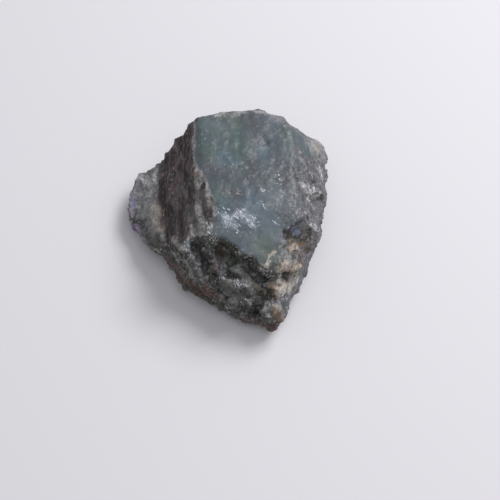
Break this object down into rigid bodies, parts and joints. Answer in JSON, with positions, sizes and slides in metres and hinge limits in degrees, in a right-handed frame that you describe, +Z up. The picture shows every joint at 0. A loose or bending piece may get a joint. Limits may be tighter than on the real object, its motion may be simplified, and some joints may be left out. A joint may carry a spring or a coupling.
{
  "type": "rough labradorite chunk",
  "caption": "Rough chunk of labradorite with a grey-green sheen face, a dark striped cleavage face and a broken near end, cut level where it rests.",
  "frame": {"origin": "middle of the stone's outline seen from above, on the level face it rests on", "axes": "+Z up out of the face it rests on, towards the sheen face; +Y from the pointed near end to the far end; +X to the stone's right"},
  "size_m": [0.0474, 0.0498, 0.0225],
  "materials": {
    "feldspar": "rough broken grey-green feldspar with small bright cleavage glints, a blue to violet sheen in places and a dark brown striped face"
  },
  "bodies": {
    "root": {"labradorite_chunk": "feldspar"}
  },
  "joints": []
}
